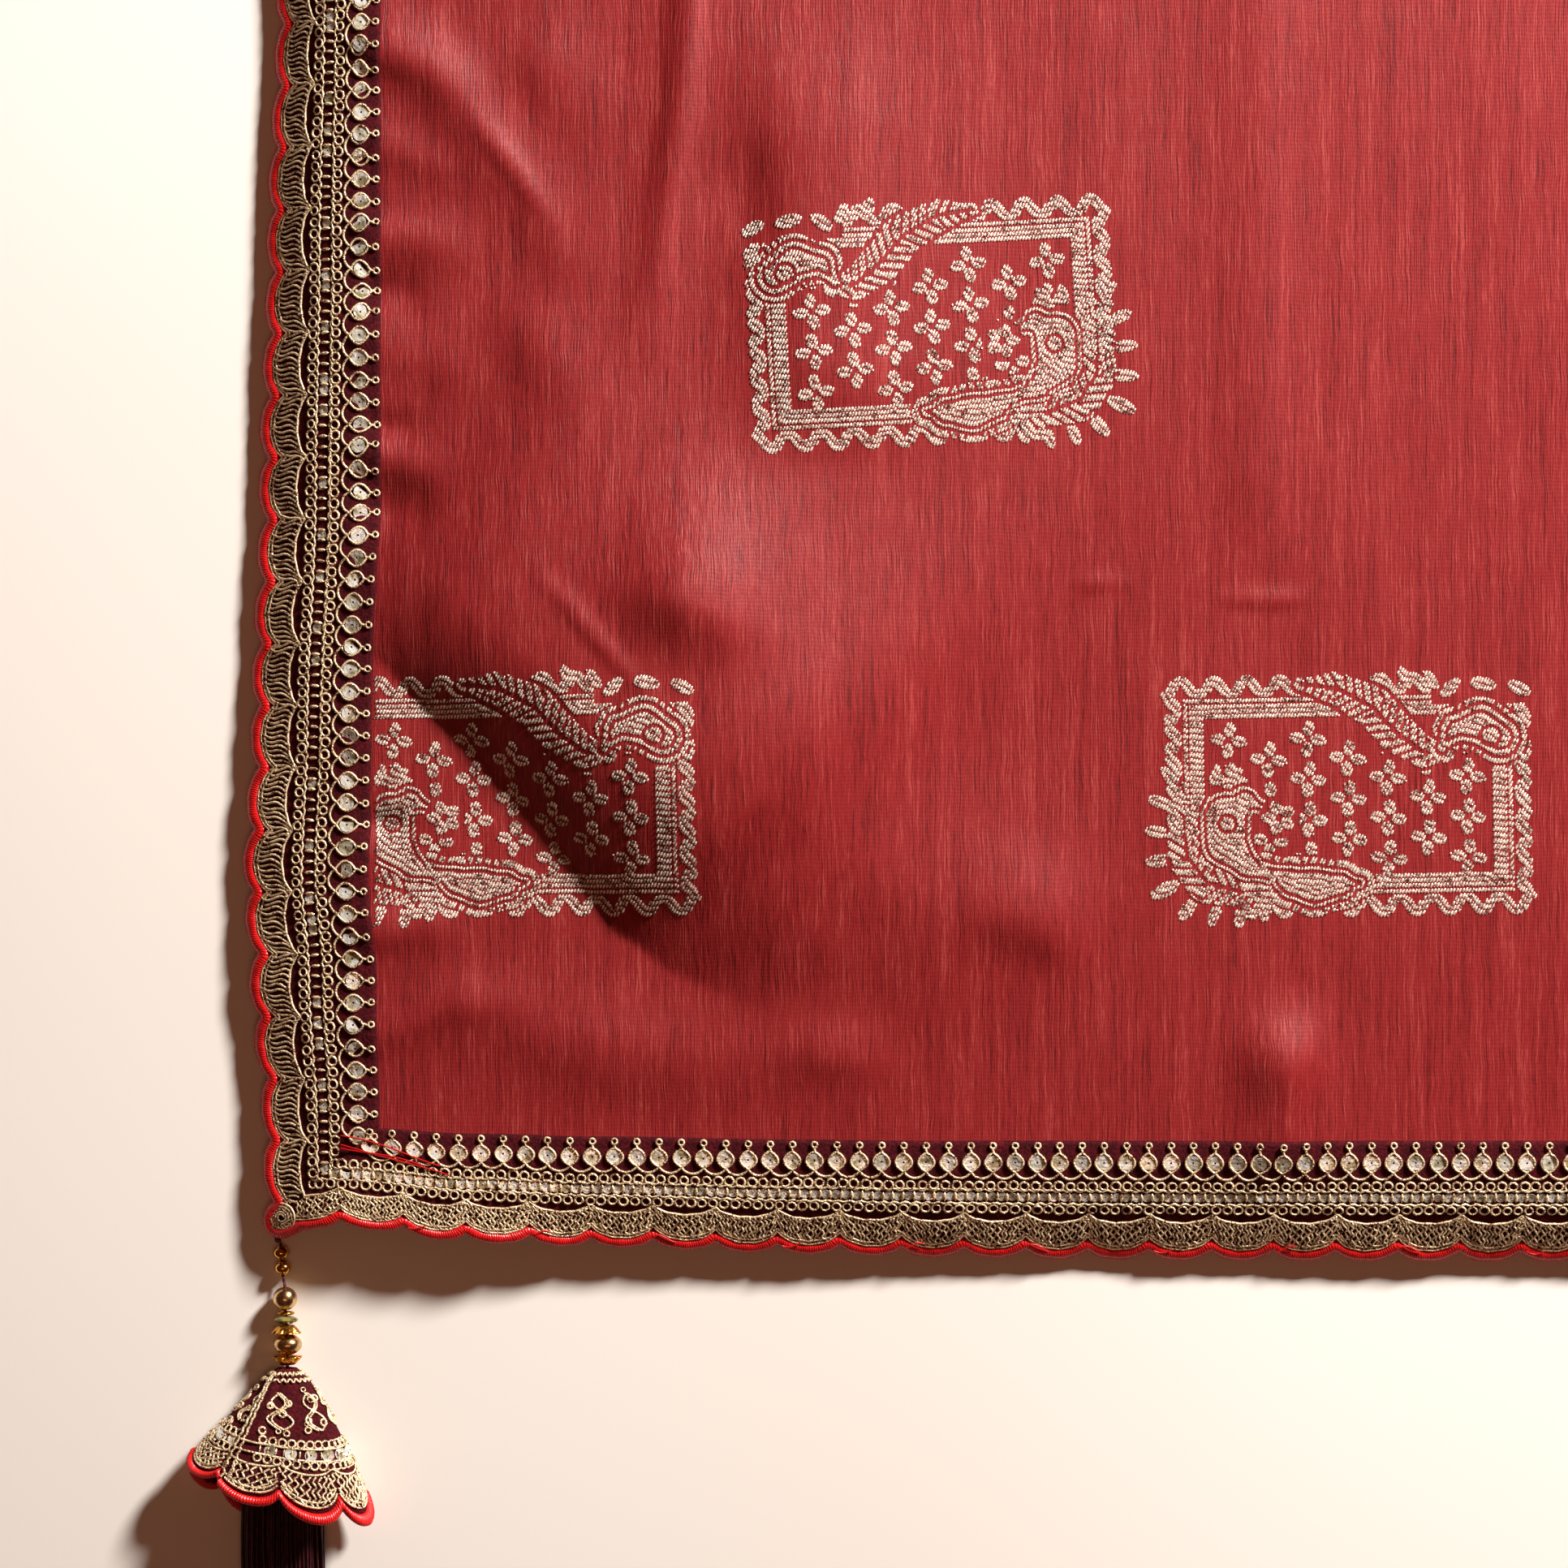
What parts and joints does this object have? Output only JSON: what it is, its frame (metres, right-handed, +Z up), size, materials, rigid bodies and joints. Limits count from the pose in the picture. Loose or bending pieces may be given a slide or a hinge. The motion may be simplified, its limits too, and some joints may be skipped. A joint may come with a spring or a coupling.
{
  "type": "saree",
  "caption": "Folded saree lying flat, its pallu corner on top, with a scalloped lace along two edges, a raised diagonal fold and a beaded tassel at the corner.",
  "frame": {"origin": "centre of the folded layers' flat underside, on the surface the saree lies on", "axes": "+X along the pallu end from the lace towards the right-hand fold, +Y along the cloth's length away from the pallu end, +Z up"},
  "size_m": [0.5882, 0.7755, 0.0356],
  "materials": {
    "red_silk": "satin",
    "lace": "matte",
    "red_cord": "matte",
    "tassel_thread": "matte",
    "gold": "polished",
    "glass": "polished"
  },
  "bodies": {
    "root": {"pallu_cloth": "red_silk", "folded_layers": "red_silk", "side_lace": "lace", "end_lace": "lace", "tassel_cord": "red_cord", "small_bead_1": "gold", "small_bead_2": "gold", "large_bead_1": "gold", "spacer_ring": "gold", "rondelle": "glass", "bead_cap_1": "gold", "large_bead_2": "gold", "bead_cap_2": "gold", "tassel_cone": "lace", "tassel_skein": "tassel_thread"}
  },
  "joints": []
}
